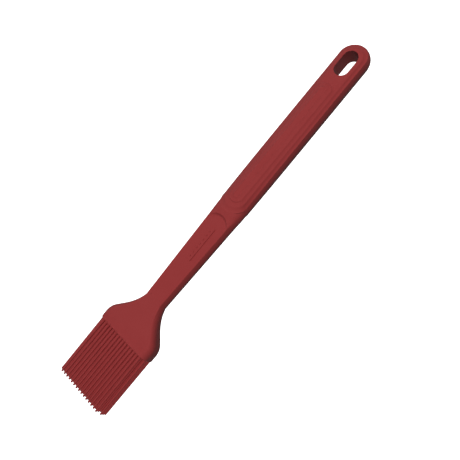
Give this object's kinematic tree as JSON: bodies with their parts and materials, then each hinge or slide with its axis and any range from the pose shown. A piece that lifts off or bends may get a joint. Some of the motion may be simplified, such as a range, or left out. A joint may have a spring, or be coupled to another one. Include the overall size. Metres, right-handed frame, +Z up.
{
  "type": "pastry brush",
  "caption": "Silicone pastry brush with a fluted grip, paddle head, flexible bristle rows and a hanging slot.",
  "frame": {"origin": "on the surface the brush lies on, under the middle of its box", "axes": "+Y along the brush from the bristles to the hanging end, +Z up out of the front face, X across the head"},
  "size_m": [0.0428, 0.2688, 0.015],
  "materials": {
    "silicone_body": "satin moulded",
    "silicone_bristle": "satin moulded",
    "core": "moulded"
  },
  "bodies": {
    "root": {"core_bar": "core", "grip_sleeve": "silicone_body", "brush_head": "silicone_body"},
    "row_1": {"bristle_row_1": "silicone_bristle"},
    "row_2": {"bristle_row_2": "silicone_bristle"},
    "row_3": {"bristle_row_3": "silicone_bristle"},
    "row_4": {"bristle_row_4": "silicone_bristle"},
    "row_5": {"bristle_row_5": "silicone_bristle"}
  },
  "joints": [
    {"name": "row_1_bend", "type": "hinge", "parent": "root", "child": "row_1", "pos_m": [0, -0.09445, 0.0115], "axis": [1, 0, 0], "range_deg": [-30, 30], "stiffness_Nm_per_rad": 0.03},
    {"name": "row_2_bend", "type": "hinge", "parent": "root", "child": "row_2", "pos_m": [0, -0.09445, 0.00905], "axis": [1, 0, 0], "range_deg": [-30, 30], "stiffness_Nm_per_rad": 0.03},
    {"name": "row_3_bend", "type": "hinge", "parent": "root", "child": "row_3", "pos_m": [0, -0.09445, 0.0066], "axis": [1, 0, 0], "range_deg": [-30, 30], "stiffness_Nm_per_rad": 0.03},
    {"name": "row_4_bend", "type": "hinge", "parent": "root", "child": "row_4", "pos_m": [0, -0.09445, 0.00415], "axis": [1, 0, 0], "range_deg": [-30, 30], "stiffness_Nm_per_rad": 0.03},
    {"name": "row_5_bend", "type": "hinge", "parent": "root", "child": "row_5", "pos_m": [0, -0.09445, 0.0017], "axis": [1, 0, 0], "range_deg": [-30, 30], "stiffness_Nm_per_rad": 0.03}
  ],
  "couplings": [
    {"joint": "row_1_bend", "follows": "row_3_bend", "ratio": 1},
    {"joint": "row_2_bend", "follows": "row_3_bend", "ratio": 1},
    {"joint": "row_4_bend", "follows": "row_3_bend", "ratio": 1},
    {"joint": "row_5_bend", "follows": "row_3_bend", "ratio": 1}
  ]
}
